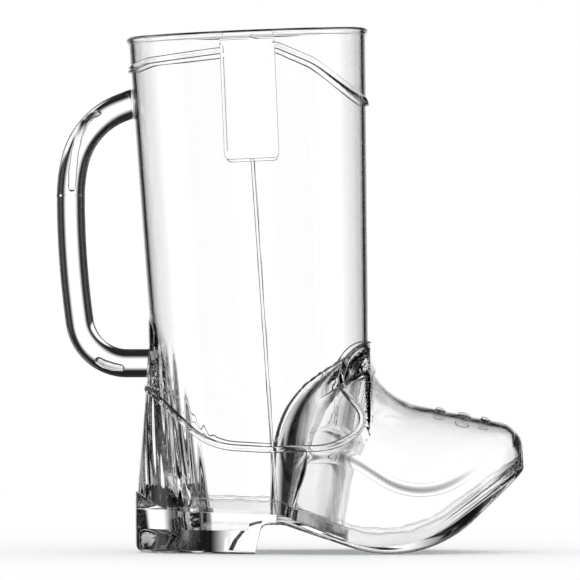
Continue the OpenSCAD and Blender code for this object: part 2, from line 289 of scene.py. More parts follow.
def solid(name, rings, loop=False):
    """A closed mesh through rings of points in mm; with loop the last ring joins the first."""
    r = np.asarray(rings, float)
    m, n = r.shape[:2]
    j, i = np.meshgrid(np.arange(m if loop else m - 1), np.arange(n), indexing="ij")
    k, up = (i + 1) % n, (j + 1) % m
    faces = np.stack([j * n + i, j * n + k, up * n + k, up * n + i], -1).reshape(-1, 4).tolist()
    if not loop:
        faces += [list(range(n))[::-1], list(range((m - 1) * n, m * n))]
    me = bpy.data.meshes.new(name)
    me.from_pydata(in_frame(r), [], faces)
    return place_mesh(name, me)


def combine(ob, tool, operation):
    """Unites ob with tool, cuts tool from it or keeps what they share."""
    mod = ob.modifiers.new("combine", "BOOLEAN")
    mod.operation, mod.object, mod.solver = operation, tool, "MANIFOLD"
    me = bpy.data.meshes.new_from_object(ob.evaluated_get(bpy.context.evaluated_depsgraph_get()))
    ob.modifiers.clear()
    old, ob.data = ob.data, me
    bpy.data.meshes.remove(old)
    old = tool.data
    bpy.data.objects.remove(tool)
    bpy.data.meshes.remove(old)
    return ob


def add(ob, tool):
    return combine(ob, tool, "UNION")


def cut(ob, tool):
    return combine(ob, tool, "DIFFERENCE")


def keep(ob, tool):
    return combine(ob, tool, "INTERSECT")


def prism_z(name, outline, z0, z1):
    """An outline drawn in plan, between two heights."""
    o = np.asarray(outline, float)
    return solid(name, [np.column_stack([o, np.full(len(o), z)]) for z in (z0, z1)])


def prism_y(name, outline, y0=-WIDE, y1=WIDE):
    """An outline drawn in side view, across the part."""
    o = np.asarray(outline, float)
    return solid(name, [np.column_stack([o[:, 0], np.full(len(o), y), o[:, 1]]) for y in (y1, y0)])


def block(name, x0, x1, z0, z1):
    """A block right across the part."""
    return prism_y(name, [[x0, z0], [x1, z0], [x1, z1], [x0, z1]])


# directions of the leaning shaft, and angles round a ring, which are closest at the toe
AXIS = np.array([-math.sin(LEAN), 0, math.cos(LEAN)])
ACROSS = np.array([math.cos(LEAN), 0, math.sin(LEAN)])
SIDE = np.array([0.0, 1.0, 0.0])
HALF = 208
TURN = math.pi * (np.arange(HALF + 1) / HALF) ** 1.15
ROUND = np.concatenate([TURN, -TURN[-2:0:-1]])


def tilted(r, h, t=ROUND):
    """A ring square to the shaft's axis."""
    return h * AXIS + r * (np.outer(np.cos(t), ACROSS) + np.outer(np.sin(t), SIDE))


def level(r, z, t=ROUND):
    """A ring from polar radii about the shaft's axis."""
    return np.column_stack([shaft_x(z) + r * np.cos(t), r * np.sin(t), np.broadcast_to(z, t.shape)])


def cone(name, more, h0, h1):
    """The cup's outer surface as a solid, grown by more."""
    return solid(name, [tilted(float(shaft_r(h)) + more, h) for h in (h0, h1)])


def leaning_round(name, front, r):
    """A round solid that leans back like the cup's front wall; front is its x at the ground."""
    t = np.linspace(0, 2 * math.pi, 360, endpoint=False)
    c = math.cos(FRONT_SLOPE)
    return solid(name, [np.column_stack([front + z * math.tan(FRONT_SLOPE) + r / c * (np.cos(t) - 1),
                                         r * np.sin(t), np.full_like(t, z)]) for z in (-40.0, 130.0)])


def front_wall(name, gap):
    """The cup's leaning front wall and all behind it, grown by gap."""
    c = math.cos(FRONT_SLOPE)
    return leaning_round(name, FRONT_X + gap / c, FRONT_R + gap)


def cup_core(name, gap, h0, h1):
    """The cup's inside, shrunk by gap: the shaft's cone and the back of the front wall."""
    c = math.cos(FRONT_SLOPE)
    return keep(cone(name, -WALL - gap, h0, h1),
                leaning_round("front", FRONT_X - (FRONT_T + gap) / c, FRONT_BACK_R - gap))


def counter_tube(name, r, h0, h1):
    """The heel counter's cylinder about its sloping axis."""
    a = COUNTER_SLOPE
    t = np.linspace(0, 2 * math.pi, 240, endpoint=False)
    up, out = np.array([math.sin(a), 0, math.cos(a)]), np.array([math.cos(a), 0, -math.sin(a)])
    base = np.array([float(counter_x(0)), 0, 0])
    return solid(name, [base + h * up + r * (np.outer(np.cos(t), out) + np.outer(np.sin(t), SIDE))
                        for h in (h0, h1)])


def even(points, step, loop=False):
    """Points at an even step along a line."""
    p = np.asarray(points, float)
    if loop:
        p = np.vstack([p, p[:1]])
    d = np.concatenate([[0], np.cumsum(np.linalg.norm(np.diff(p, axis=0), axis=1))])
    s = np.linspace(0, d[-1], max(int(d[-1] / step), 2) + 1)
    if loop:
        s = s[:-1]
    return np.column_stack([np.interp(s, d, p[:, k]) for k in range(p.shape[1])])


def surface(t, z):
    """Point and outward normal of the boot's outside; t is signed, minus on the near side."""
    def at(tt, zz):
        r = outer_r(np.abs(tt), zz)
        return np.stack([shaft_x(zz) + r * np.cos(tt), r * np.sin(tt), zz], -1)
    e = 1e-3
    n = np.cross(at(t + e, z) - at(t - e, z), at(t, z + 0.05) - at(t, z - 0.05))
    return at(t, z), n / np.linalg.norm(n, axis=-1, keepdims=True)


def turn_at(x, z):
    """Angle from the toe at which the outside has that x at that height, or nan."""
    lo, hi = np.zeros_like(x), np.full_like(x, math.pi)
    for _ in range(44):
        t = (lo + hi) / 2
        front = shaft_x(z) + outer_r(t, z) * np.cos(t) > x
        lo, hi = np.where(front, t, lo), np.where(front, hi, t)
    t = (lo + hi) / 2
    return np.where((t < 1e-3) | (t > math.pi - 1e-3), np.nan, t)


def piping(name, line, loop):
    """Raised piping on both sides of the boot along a line drawn in side view. With loop it
    closes round front and back, else it runs round whichever end leaves the side view."""
    step, sides, squareness = 0.7, 20, 3.0
    line = even(line, 0.02)
    t = turn_at(line[:, 0], line[:, 1])
    ok = ~np.isnan(t)
    tz = np.column_stack([-t[ok], line[ok, 1]])
    if np.isnan(t[0]) or loop:
        path = np.vstack([tz[::-1], tz * [-1, 1]])
    else:
        path = np.vstack([tz, tz[::-1] * [-1, 1]])
    # wrapped angles keep the step across the back short
    ang = np.unwrap(path[:, 0])
    pts, _ = surface((ang + math.pi) % (2 * math.pi) - math.pi, path[:, 1])
    both = np.column_stack([pts, ang, path[:, 1]])
    if loop:
        turn = 2 * math.pi * round((ang[-1] - ang[0]) / (2 * math.pi))
        both = np.vstack([both, both[:1] + [0, 0, 0, turn, 0]])
    d = np.concatenate([[0], np.cumsum(np.linalg.norm(np.diff(both[:, :3], axis=0), axis=1))])
    s = np.linspace(0, d[-1], int(d[-1] / step) + 1)
    s = s[:-1] if loop else s
    a = (np.interp(s, d, both[:, 3]) + math.pi) % (2 * math.pi) - math.pi
    p, n = surface(a, np.interp(s, d, both[:, 4]))
    return band(name, p, n, PIPING_W / 2, RELIEF, loop, sides, squareness)


# name of the path's own direction
RISE = "rise"


def band_tree():
    """Geometry Nodes that sweep a softly squared section along a path of edges. Each point of the
    path carries the direction that the section's height takes."""
    tree = bpy.data.node_groups.new("band along a path", "GeometryNodeTree")
    tree.interface.new_socket("Geometry", in_out="INPUT", socket_type="NodeSocketGeometry")
    for name, kind in (("Half width", "Float"), ("Height", "Float"), ("Squareness", "Float"),
                       ("Sides", "Int"), ("Finish", "Material")):
        tree.interface.new_socket(name, in_out="INPUT", socket_type="NodeSocket" + kind)
    tree.interface.new_socket("Geometry", in_out="OUTPUT", socket_type="NodeSocketGeometry")
    sizes = add_node(tree, "NodeGroupInput").outputs
    path = add_node(tree, "GeometryNodeMeshToCurve", {"Mesh": sizes["Geometry"]})
    rise = add_node(tree, "GeometryNodeInputNamedAttribute", {"Name": RISE}, data_type="FLOAT_VECTOR")
    path = add_node(tree, "GeometryNodeSetCurveNormal",
                    {"Curve": path.outputs["Curve"], "Normal": rise.outputs["Attribute"]}, mode="FREE")
    circle = add_node(tree, "GeometryNodeCurvePrimitiveCircle", {"Resolution": sizes["Sides"], "Radius": 1.0})
    place = add_node(tree, "GeometryNodeInputPosition")
    place = add_node(tree, "ShaderNodeSeparateXYZ", {"Vector": place.outputs["Position"]})
    power = add_node(tree, "ShaderNodeMath", {0: 2.0, 1: sizes["Squareness"]}, operation="DIVIDE")
    section = []
    for along, size in (("X", "Height"), ("Y", "Half width")):
        way = add_node(tree, "ShaderNodeMath", {0: place.outputs[along]}, operation="SIGN")
        far = add_node(tree, "ShaderNodeMath", {0: place.outputs[along]}, operation="ABSOLUTE")
        far = add_node(tree, "ShaderNodeMath", {0: far.outputs[0], 1: power.outputs[0]}, operation="POWER")
        far = add_node(tree, "ShaderNodeMath", {0: far.outputs[0], 1: sizes[size]}, operation="MULTIPLY")
        far = add_node(tree, "ShaderNodeMath", {0: far.outputs[0], 1: way.outputs[0]}, operation="MULTIPLY")
        section.append(far.outputs[0])
    squared = add_node(tree, "ShaderNodeCombineXYZ", {"X": section[0], "Y": section[1]})
    circle = add_node(tree, "GeometryNodeSetPosition",
                      {"Geometry": circle.outputs["Curve"], "Position": squared.outputs["Vector"]})
    band = add_node(tree, "GeometryNodeCurveToMesh", {"Curve": path.outputs["Curve"], "Fill Caps": True,
                                                      "Profile Curve": circle.outputs["Geometry"]})
    band = add_node(tree, "GeometryNodeRealizeInstances", {"Geometry": band.outputs["Mesh"]})
    band = add_node(tree, "GeometryNodeSetMaterial",
                    {"Geometry": band.outputs["Geometry"], "Material": sizes["Finish"]})
    add_node(tree, "NodeGroupOutput", {"Geometry": band.outputs["Geometry"]})
    return tree


BAND = band_tree()


def band(name, p, rise, half, height, loop, sides, squareness=2.0, finish=PLASTIC):
    """A band along the points p, half wide each way and height each way along rise."""
    d = np.roll(p, -1, 0) - np.roll(p, 1, 0) if loop else np.gradient(p, axis=0)
    d /= np.linalg.norm(d, axis=1, keepdims=True)
    n = rise - d * np.sum(rise * d, 1, keepdims=True)
    n /= np.linalg.norm(n, axis=1, keepdims=True)
    me = bpy.data.meshes.new(name)
    ends = np.arange(len(p) if loop else len(p) - 1)
    me.from_pydata(in_frame(p), np.column_stack([ends, (ends + 1) % len(p)]).tolist(), [])
    me.attributes.new(RISE, "FLOAT_VECTOR", "POINT").data.foreach_set("vector", n.ravel())
    line = bpy.data.objects.new(name + " path", me)
    bpy.context.scene.collection.objects.link(line)
    mod = line.modifiers.new("band", "NODES")
    mod.node_group = BAND
    sizes = {"Half width": half * 0.001, "Height": height * 0.001, "Squareness": squareness, "Sides": sides,
             "Finish": finish}
    for socket in BAND.interface.items_tree:
        if socket.name in sizes:
            mod[socket.identifier] = sizes[socket.name]
    swept = bpy.data.meshes.new_from_object(line.evaluated_get(bpy.context.evaluated_depsgraph_get()))
    line.modifiers.clear()
    bpy.data.objects.remove(line)
    bpy.data.meshes.remove(me)
    return place_mesh(name, swept)


def pad(name, outline, place, depth, height, soft):
    """A raised patch: outline in flat coordinates, place(uv, h) sets it on the surface."""
    o = np.asarray(outline, float)
    mid = (o.max(0) + o.min(0)) / 2
    size = (o.max(0) - o.min(0)) / 2
    shares = (0.03, 0.25, 0.5, 0.75, 0.92)
    rings = [place(mid + (o - mid) * k, -depth) for k in shares + (1.0,)]
    for k in np.linspace(0, 1, 6):
        inset = 1 - soft * (1 - math.cos(k * math.pi / 2)) / size
        rings.append(place(mid + (o - mid) * inset, height - soft * (1 - math.sin(k * math.pi / 2))))
    rings += [place(mid + (o - mid) * (1 - soft / size) * k, height) for k in shares[::-1]]
    return solid(name, rings)


# Upper: shaft, cup wall, foot and counter

def upper_shell():
    """Rings up the outside, over the lip, down the bore and back along the seam."""
    flat = np.abs(ROUND)
    rings = []
    for k in np.linspace(0, 1, 27)[:-1]:
        z = on_seam(flat, k, outer_r)
        rings.append(level(outer_r(flat, z), z))
    on_ridge = RIDGE[(RIDGE[:, 1] > LEVEL_Z) & (RIDGE[:, 1] < 69.5), 1][::2]
    rows = np.unique(np.round(np.concatenate([np.arange(LEVEL_Z, 70.2, 1.0), on_ridge]), 2))
    rows = rows[np.concatenate([[True], np.diff(rows) > 0.12])]
    for z in rows:
        zz = np.full_like(flat, z)
        rings.append(level(outer_r(flat, zz), zz))
    for h in np.linspace(75, RIM_Z - LIP_H - 0.3, 7):
        rings.append(tilted(float(shaft_r(h)), h))
    e = (WALL + LIP_PROUD) / 2
    big = float(shaft_r(RIM_Z)) + LIP_PROUD
    low, small = RIM_Z - LIP_H, float(shaft_r(RIM_Z - LIP_H))
    quarter, inner, edge = np.linspace(0, math.pi / 2, 5), 0.12, 0.14
    for a in quarter:
        rings.append(tilted(small + inner * (1 - math.cos(a)), low - inner + inner * math.sin(a)))
    for a in quarter:
        rings.append(tilted(big - edge + edge * math.sin(a), low + edge - edge * math.cos(a)))
    for a in np.linspace(0, math.pi, 11):
        rings.append(tilted(big - e + e * math.cos(a), RIM_Z - e + e * math.sin(a)))
    for h in np.linspace(RIM_Z - 4, 75, 6):
        rings.append(tilted(float(shaft_r(h)) - WALL, h))

    def bore_r(t, z):
        """The bore's cone, cut off by the back of the leaning front wall and uneven where
        the thick counter sank as it cooled."""
        back = np.clip((t - 2.05) / 0.5, 0, 1) * np.clip((66 - z) / 22, 0, 1)
        sink = np.sin(38 * t + 0.05 * z) + 0.7 * np.sin(61 * t - 0.11 * z + 1.3)
        sink += 0.5 * np.sin(17 * t + 0.2 * z)
        return np.minimum(cone_r(t, z, -WALL) + SINK * back * sink, front_wall_r(t, z))
    for z in np.arange(70.0, LEVEL_Z - 0.5, -2.0):
        zz = np.full_like(flat, z)
        rings.append(level(bore_r(flat, zz), zz))
    for k in (0.8, 0.6, 0.4, 0.2, 0.0):
        z = on_seam(flat, k, bore_r)
        rings.append(level(bore_r(flat, z), z))
    z = on_seam(flat, 0.0, bore_r)
    inner = level(bore_r(flat, z), z)
    for k in np.linspace(0, 1, 11)[1:-1]:
        p = inner + (rings[0] - inner) * k
        p[:, 2] = seam_z(p[:, 0])
        rings.append(p)
    return solid("upper", rings, True)


# side view of the solid root where the toe leaves the cup
ROOT = rounded([[6.6, -20], [7.2, 12], [11.6, 25], [12.0, 34], [15.0, 46.2], [23, 50.8], [33, 54.6]],
               [0, 10, 14, 20, 4, 20, 0])


def before_root(gap):
    """What lies in front of the root, in side view."""
    return prism_y("before root", np.vstack([ROOT + [gap, 0], [[120, 90], [120, -20]]]))


def foot_skin(t, z):
    """Point and outward normal of the foot's side; t is signed."""
    def at(tt, zz):
        r = foot_r(np.abs(tt), zz)
        return np.stack([shaft_x(zz) + r * np.cos(tt), r * np.sin(tt), zz], -1)
    e = 2e-3
    n = np.cross(at(t + e, z) - at(t - e, z), at(t, z + 0.1) - at(t, z - 0.1))
    return at(t, z), n / np.linalg.norm(n, axis=-1, keepdims=True)


def toe_hollow():
    """Between the foot's shell and the cup's front wall, ending at the root. The shell is
    thicker along the shoulder where its sides arch over."""
    half = math.radians(87) * (np.arange(89) / 88) ** 1.15
    turn = np.concatenate([-half[:0:-1], half])
    rings = []
    rows = (np.linspace(-2, 12, 8)[:-1], np.linspace(12, 34, 50)[:-1], np.linspace(34, 66, 66))
    for z in np.concatenate(rows):
        p, n = foot_skin(turn, np.full_like(turn, max(z, 2.0)))
        p[:, 2] = z
        up = z - np.interp(p[:, 0], SPRING[:, 0], SPRING[:, 1]) - 1
        up = np.clip(np.where(up < 0, 1 + up / SHOULDER_LOW, 1 - up / SHOULDER_TOP), 0, 1)
        bump = up * up * (3 - 2 * up) * np.clip((72 - p[:, 0]) / 14, 0, 1)
        q = p - n * (WALL + SHOULDER * bump)[:, None]
        x = float(shaft_x(z))
        rings.append(np.vstack([q, [[x, 9, z], [x, -9, z]]]))
    return cut(keep(solid("toe hollow", rings), before_root(0)), front_wall("front wall", 0))


# raised lines of the boot in side view: the scalloped top and the edge of the vamp
SCALLOP_BACK = rounded([[-50, RIM_Z - 15], [-37, RIM_Z - 9.3], [-8, RIM_Z - 5.6]], [0, 14, 0])
SCALLOP_FRONT = rounded([[-6, RIM_Z - 3.2], [3, RIM_Z - 5], [14, RIM_Z - 9.6], [42, RIM_Z - 30.6]],
                        [0, 6, 20, 0])
VAMP = rounded([[-46, 56], [-33, 46.5], [-18, 32.6], [0, 31.6], [20, 32.2], [31, 39.6],
                [21.4, 51], [24, 61.6], [36, 64.6]], [0, 16, 22, 30, 22, 5.6, 5.6, 10, 0])


def strap(sign):
    """A pull strap, laid flat on the side of the shaft."""
    low, top, w = RIM_Z - STRAP_LEN, RIM_Z - 2.8, STRAP_W / 2
    o = rounded([[0, low], [w, low], [w, top], [-w, top], [-w, low], [0, low]],
                [0, 1.6, 0.4, 0.4, 1.6, 0], 8)
    o = even(o[:-1], 0.6, True)

    def place(uv, h):
        r = shaft_r(uv[:, 1]) + h
        y = sign * np.sqrt(r ** 2 - uv[:, 0] ** 2)
        return np.outer(uv[:, 1], AXIS) + np.outer(uv[:, 0], ACROSS) + np.outer(y, SIDE)
    return pad("strap", o, place, 0.9, RELIEF, 0.25)


def side_seam(sign):
    """The raised seam from the strap down to the sole."""
    top = RIM_Z - STRAP_LEN + 5.4
    z = np.arange(top, 12.6, -0.8)
    x = np.interp(z, [2, top], [3.2, float(shaft_x(top))])
    t = turn_at(x, z)
    p, n = surface(sign * t, z)
    height, sides, squareness = 0.5, 16, 2.6
    return band("side seam", p, n, SEAM_W / 2, height, False, sides, squareness)


def petal(sign, at, long, wide):
    """A petal of the toe flower, laid on the foot beside the ridge."""
    a = np.linspace(0, 2 * math.pi, 40, endpoint=False)
    flat = np.column_stack([wide / 2 * np.sin(a), long / 2 * (1 + np.cos(a))])

    def place(uv, h):
        x, y = at + uv[:, 0], sign * (PETAL_Y + uv[:, 1])
        lo, hi = np.full_like(x, LEVEL_Z), np.full_like(x, 60.0)
        for _ in range(40):
            z = (lo + hi) / 2
            d = x - shaft_x(z)
            inside = np.hypot(d, y) < outer_r(np.abs(np.arctan2(y, d)), z)
            lo, hi = np.where(inside, z, lo), np.where(inside, hi, z)
        z = (lo + hi) / 2
        p, n = surface(np.arctan2(y, x - shaft_x(z)), z)
        return p + n * h
    return pad("petal", flat, place, 0.6, 0.6, 0.35)


# place as a share of the toe's reach, length and width as shares of the petal's size
PETALS = ((0.6705, 0.62, 0.36), (0.763, 0.8, 0.48), (0.846, 0.56, 0.32))


def make_upper():
    """Shaft, foot and counter with their raised lines, and the hollow of the toe."""
    ob = upper_shell()
    add(ob, piping("scallop back", SCALLOP_BACK[::-1], False))
    add(ob, piping("scallop front", SCALLOP_FRONT, False))
    add(ob, piping("vamp piping", VAMP, True))
    for sign in (-1, 1):
        add(ob, strap(sign))
        add(ob, side_seam(sign))
        for at, long, wide in PETALS:
            add(ob, petal(sign, TOE_REACH * at, PETAL * long, PETAL * wide))
    cut(ob, toe_hollow())
    return ob


# Sole with its heel, and the cement film

def boot_half(x):
    """Half width of the boot's plan at the seam."""
    r, z = float(shaft_r(SEAT_Z)), SEAT_Z
    cup = np.sqrt(np.maximum(r ** 2 - (x - float(shaft_x(z))) ** 2, 0))
    heel = np.sqrt(np.maximum(COUNTER_R ** 2 - (x - float(counter_x(z))) ** 2, 0))
    return np.where(x < -4, np.maximum(cup, heel), np.maximum(cup, np.where(x > 0, plan_half(x), 0)))


def under_z(x):
    """Underside of sole and heel."""
    back = float(counter_x(SEAT_Z)) - COUNTER_R
    heel = np.where(x < back + 2, 2 - np.sqrt(np.maximum(4 - (back + 2 - x) ** 2, 0)), 0)
    return np.where(x < UNDER[0, 0], heel, np.interp(x, UNDER[:, 0], UNDER[:, 1]))


def sole_block():
    """Sole and heel between the underside and the seam, with rounded lower edges."""
    back, r = float(counter_x(SEAT_Z)) - COUNTER_R, SOLE_ROUND
    u = np.linspace(0, 1, 60)
    x = np.unique(np.round(np.concatenate([
        back + (-6 - back) * (1 - np.cos(u * math.pi / 2)), np.linspace(-6, 12, 150),
        12 + (TOE_REACH - 12) * np.sin(np.linspace(0, 1, 120) * math.pi / 2)]), 4))
    w = boot_half(x)
    g = np.column_stack([np.gradient(x), np.gradient(w)])
    g /= np.linalg.norm(g, axis=1, keepdims=True)

    def side(xs, ws, z):
        near = np.column_stack([xs, -ws, np.minimum(z, seam_z(xs) - SEAM_GAP)])
        return np.vstack([near, near[-2:0:-1] * [1, -1, 1]])
    rings = []
    xs = np.clip(x, back, TOE_REACH)
    for k in (0.0, 0.35, 0.7):
        rings.append(side(xs, w, (seam_z(xs) - SEAM_GAP) * (1 - k) + (under_z(xs) + r) * k))
    for a in np.linspace(0, math.pi / 2, 7):
        d = r * (1 - math.cos(a))
        xs = np.clip(x + g[:, 1] * d, back, TOE_REACH)
        rings.append(side(xs, np.maximum(w - g[:, 0] * d, 0), under_z(xs) + r * (1 - math.sin(a))))
    n, m = len(rings[0]), len(x)
    ob = solid("sole", rings)
    bm = bmesh.new()
    bm.from_mesh(ob.data)
    caps = [f for f in bm.faces if len(f.verts) == n]
    bmesh.ops.delete(bm, geom=caps, context="FACES_ONLY")
    bm.verts.ensure_lookup_table()
    for base in (0, (len(rings) - 1) * n):
        for i in range(m - 1):
            ids = [base + i, base + i + 1, base + (n - i - 1) % n, base + (n - i) % n]
            bm.faces.new([bm.verts[k] for k in dict.fromkeys(ids)])
    bmesh.ops.recalc_face_normals(bm, faces=bm.faces)
    bm.to_mesh(ob.data)
    bm.free()
    return ob


def toe_curve(gap):
    """Plan of the toe shell's inside, inset by gap."""
    t = np.radians(np.concatenate([np.linspace(-88, -30, 60), np.linspace(-30, 30, 120)[1:-1],
                                   np.linspace(30, 88, 60)]))
    r = inner_r(np.abs(t), np.full_like(t, 12.0))
    o = np.column_stack([float(shaft_x(12)) + r * np.cos(t), r * np.sin(t)])
    g = np.gradient(o, axis=0)
    g /= np.linalg.norm(g, axis=1, keepdims=True)
    return o + np.column_stack([-g[:, 1], g[:, 0]]) * gap


def toe_prism(gap):
    """The space inside the toe shell, upright, shrunk by gap."""
    ob = prism_z("toe prism", toe_curve(gap), 0, 70)
    return cut(keep(ob, before_root(gap)), front_wall("cup", gap))


def toe_ring(gap, t):
    """A wall of thickness t along the inside of the toe shell."""
    return cut(toe_prism(gap), toe_prism(gap + t))


def bore_ring(gap, t):
    """A wall of thickness t along the inside of the cup."""
    return cut(cup_core("ring", gap, -5, 60), cup_core("ring core", gap + t, -9, 70))


def seam_band(low, high, y0=-WIDE, y1=WIDE):
    """Between two heights above the seam."""
    x = np.linspace(SEAM[0, 0], SEAM[-1, 0], 700)
    a, b = np.column_stack([x, seam_z(x) + low]), np.column_stack([x, seam_z(x) + high])
    return prism_y("band", np.vstack([a, b[::-1]]), y0, y1)


def make_sole():
    """Sole and heel, the dip of the heel seat and the flanges that plug the upper."""
    ob = sole_block()
    front = -BREAST_BACK - HEEL_WALL
    cut(ob, keep(cup_core("seat", BOND + FLANGE_T + SEAT_LEDGE, -5, 60),
                 block("seat box", -90, front, SEAT_Z - SEAT_DEPTH, 60)))
    add(ob, keep(bore_ring(BOND, FLANGE_T), seam_band(-1, FLANGE_H)))
    add(ob, keep(toe_ring(BOND, FLANGE_T), seam_band(-1, FLANGE_H)))
    return ob


def cement_beads(ph):
    """Cement squeezed out along the tops of the flanges, round the cup and round the toe."""
    def rise(x):
        return FLANGE_H + 0.4 + 0.16 * np.sin(x * 0.55 + ph) + 0.09 * np.sin(x * 1.27 + 2 * ph)
    t = np.linspace(-math.pi, math.pi, 600, endpoint=False)
    z = np.full_like(t, SEAT_Z + FLANGE_H)
    for _ in range(8):
        r = np.minimum(cone_r(t, z, -WALL), front_wall_r(t, z)) - GAP - BEAD_IN
        x = shaft_x(z) + r * np.cos(t)
        z = seam_z(x) + rise(x)
    cup = np.column_stack([x, r * np.sin(t), z])
    o = even(toe_curve(GAP + BEAD_IN), 0.5)
    toe = np.column_stack([o, seam_z(o[:, 0]) + rise(o[:, 0])])
    up, sides = np.array([[0.0, 0.0, 1.0]]), 12
    cup = band("cup bead", cup, up, BEAD_R, BEAD_R, True, sides, finish=CEMENT)
    toe = band("toe bead", toe, up, BEAD_R, BEAD_R, False, sides, finish=CEMENT)
    return cup, keep(toe, toe_prism(GAP))


def make_sole_bond():
    """The cement's upper edge wanders where it was squeezed out."""
    parts = []
    for side, ph in ((-1, 0.0), (1, 2.1)):
        lo, hi = (-WIDE, -0.02) if side < 0 else (0.02, WIDE)
        films = (bore_ring(GAP, BOND - 2 * GAP), toe_ring(GAP, BOND - 2 * GAP))
        for film, squeezed in zip(films, cement_beads(ph)):
            keep(film, seam_band(0.05, FLANGE_H + BEAD_IN, lo, hi))
            parts.append(add(film, keep(squeezed, seam_band(0.05, 9, lo, hi))))
    return join("sole_bond", parts)


def join(name, parts):
    """Closed pieces that do not touch, as one object."""
    bm = bmesh.new()
    for p in parts:
        bm.from_mesh(p.data)
    me = bpy.data.meshes.new(name)
    bm.to_mesh(me)
    bm.free()
    for p in parts:
        old = p.data
        bpy.data.objects.remove(p)
        bpy.data.meshes.remove(old)
    ob = bpy.data.objects.new(name, me)
    bpy.context.scene.collection.objects.link(ob)
    return ob


# Handle with its cement and the shrinkage voids in the bar

def handle_line():
    """Centre line (x, z) and heading of the loop, from the upper root to the lower arm."""
    root_x = float(shaft_x(ROOT_Z) - shaft_r(ROOT_Z)) + 4
    ease_r, ease, bow_r, bow = 2 * BEND_R, math.radians(14), 4.636 * BAR_REACH, math.radians(8)
    eased = math.pi / 2 - ease
    first = (root_x + BAR_REACH - BEND_R * (math.sin(eased) - math.sin(ROOT_FALL))
             - ease_r * (1 - math.sin(eased))) / math.cos(ROOT_FALL)
    drop = (ROOT_Z - ARM_Z - first * math.sin(ROOT_FALL) - BEND_R * (math.cos(ROOT_FALL) - math.cos(eased))
            - ease_r * math.cos(eased) - bow_r * math.sin(bow) - ELBOW_R * math.cos(bow))
    # drop, the straight stretch, comes out a little under nothing at these sizes: the rings overlap there
    step = 0.7
    p, h, out = np.array([root_x, ROOT_Z]), math.pi + ROOT_FALL, []
    for r, a in ((first, 0), (BEND_R, eased - ROOT_FALL), (ease_r, ease), (drop, 0), (bow_r, bow),
                 (ELBOW_R, math.pi / 2 - bow), (30, 0)):
        n = max(int(abs(r * (a if a else 1)) / step), 2)
        for k in np.arange(n) / n:
            if a:
                g = h + a * k
                out.append([p[0] + r * (math.sin(g) - math.sin(h)),
                            p[1] + r * (math.cos(h) - math.cos(g)), g])
            else:
                out.append([p[0] + r * k * math.cos(h), p[1] + r * k * math.sin(h), h])
        if a:
            p = p + r * np.array([math.sin(h + a) - math.sin(h), math.cos(h) - math.cos(h + a)])
            h += a
        else:
            p = p + r * np.array([math.cos(h), math.sin(h)])
    out.append([p[0], p[1], h])
    return np.array(out)


def loop_bar(name):
    """The round bar, running into the shaft at both ends."""
    q, sides = handle_line(), 72
    a = np.linspace(0, 2 * math.pi, sides, endpoint=False)
    c, s = BAR_D / 2 * np.cos(a), BAR_D / 2 * np.sin(a)
    rings = [np.column_stack([x - math.sin(h) * c, s, z + math.cos(h) * c]) for x, z, h in q]
    return solid(name, rings)


def seat_of_handle(gap):
    """The outside that the handle sits on, grown by gap."""
    ob = cone("seat", gap, -20, RIM_Z)
    return add(ob, counter_tube("seat counter", COUNTER_R + gap, -8, 70))


def void(name, line, width):
    """A shrinkage void: a flat-sided closed bubble along a line of (x, z), half width at each
    point. The round bar magnifies what is inside it, so the line is drawn in towards its axis."""
    magnified, centre = 1.5, handle_line()[:, :2]
    p = np.array(line, float)
    for i, a in enumerate(p):
        c = centre[np.argmin(np.hypot(*(centre - a).T))]
        p[i] = c + (a - c) / magnified
    d = np.concatenate([[0], np.cumsum(np.linalg.norm(np.diff(p, axis=0), axis=1))])
    s = np.linspace(0, d[-1], 90)
    x, z = np.interp(s, d, p[:, 0]), np.interp(s, d, p[:, 1])
    for _ in range(6):
        x[1:-1], z[1:-1] = (x[:-2] + 2 * x[1:-1] + x[2:]) / 4, (z[:-2] + 2 * z[1:-1] + z[2:]) / 4
    w = np.interp(s, d, width)
    ends = np.minimum(s, d[-1] - s)
    w = w * np.sqrt(np.clip(1 - (1 - np.clip(ends / 1.2, 0, 1)) ** 2, 0.0006, 1))
    t = np.column_stack([np.gradient(x), np.gradient(z)])
    t /= np.linalg.norm(t, axis=1, keepdims=True)
    a = np.linspace(0, 2 * math.pi, 40, endpoint=False)
    u = np.sign(np.cos(a)) * np.abs(np.cos(a)) ** 0.5
    v = np.sign(np.sin(a)) * np.abs(np.sin(a)) ** 0.5 * 0.6
    rings = [np.column_stack([x[i] - t[i, 1] * w[i] * u, w[i] * v, z[i] + t[i, 0] * w[i] * u])
             for i in range(len(s))]
    return solid(name, rings)


# places of the voids as seen from the side, and their half width at each point
UPPER_VOID = ([[-50.9, 134.2], [-53.95, 133.13], [-56.09, 131.45], [-57.92, 126.87], [-59.14, 121.98],
               [-59.91, 115.88], [-60.21, 109.77]], [0.55, 0.8, 0.95, 0.8, 0.8, 0.9, 0.75])
LOWER_VOID = ([[-52.88, 58.93], [-50.29, 57.4], [-47.54, 56.55], [-43.88, 55.97]], [0.7, 0.85, 0.8, 0.6])


def make_handle():
    """The loop up to the cement, with its two voids."""
    ob = cut(loop_bar("handle"), seat_of_handle(BOND))
    cut(ob, void("upper void", *UPPER_VOID))
    return cut(ob, void("lower void", *LOWER_VOID))


def make_handle_bonds():
    """The films under both ends of the loop."""
    ob = keep(loop_bar("handle_bonds"), seat_of_handle(BOND - GAP))
    return cut(ob, seat_of_handle(GAP))


# Pieces

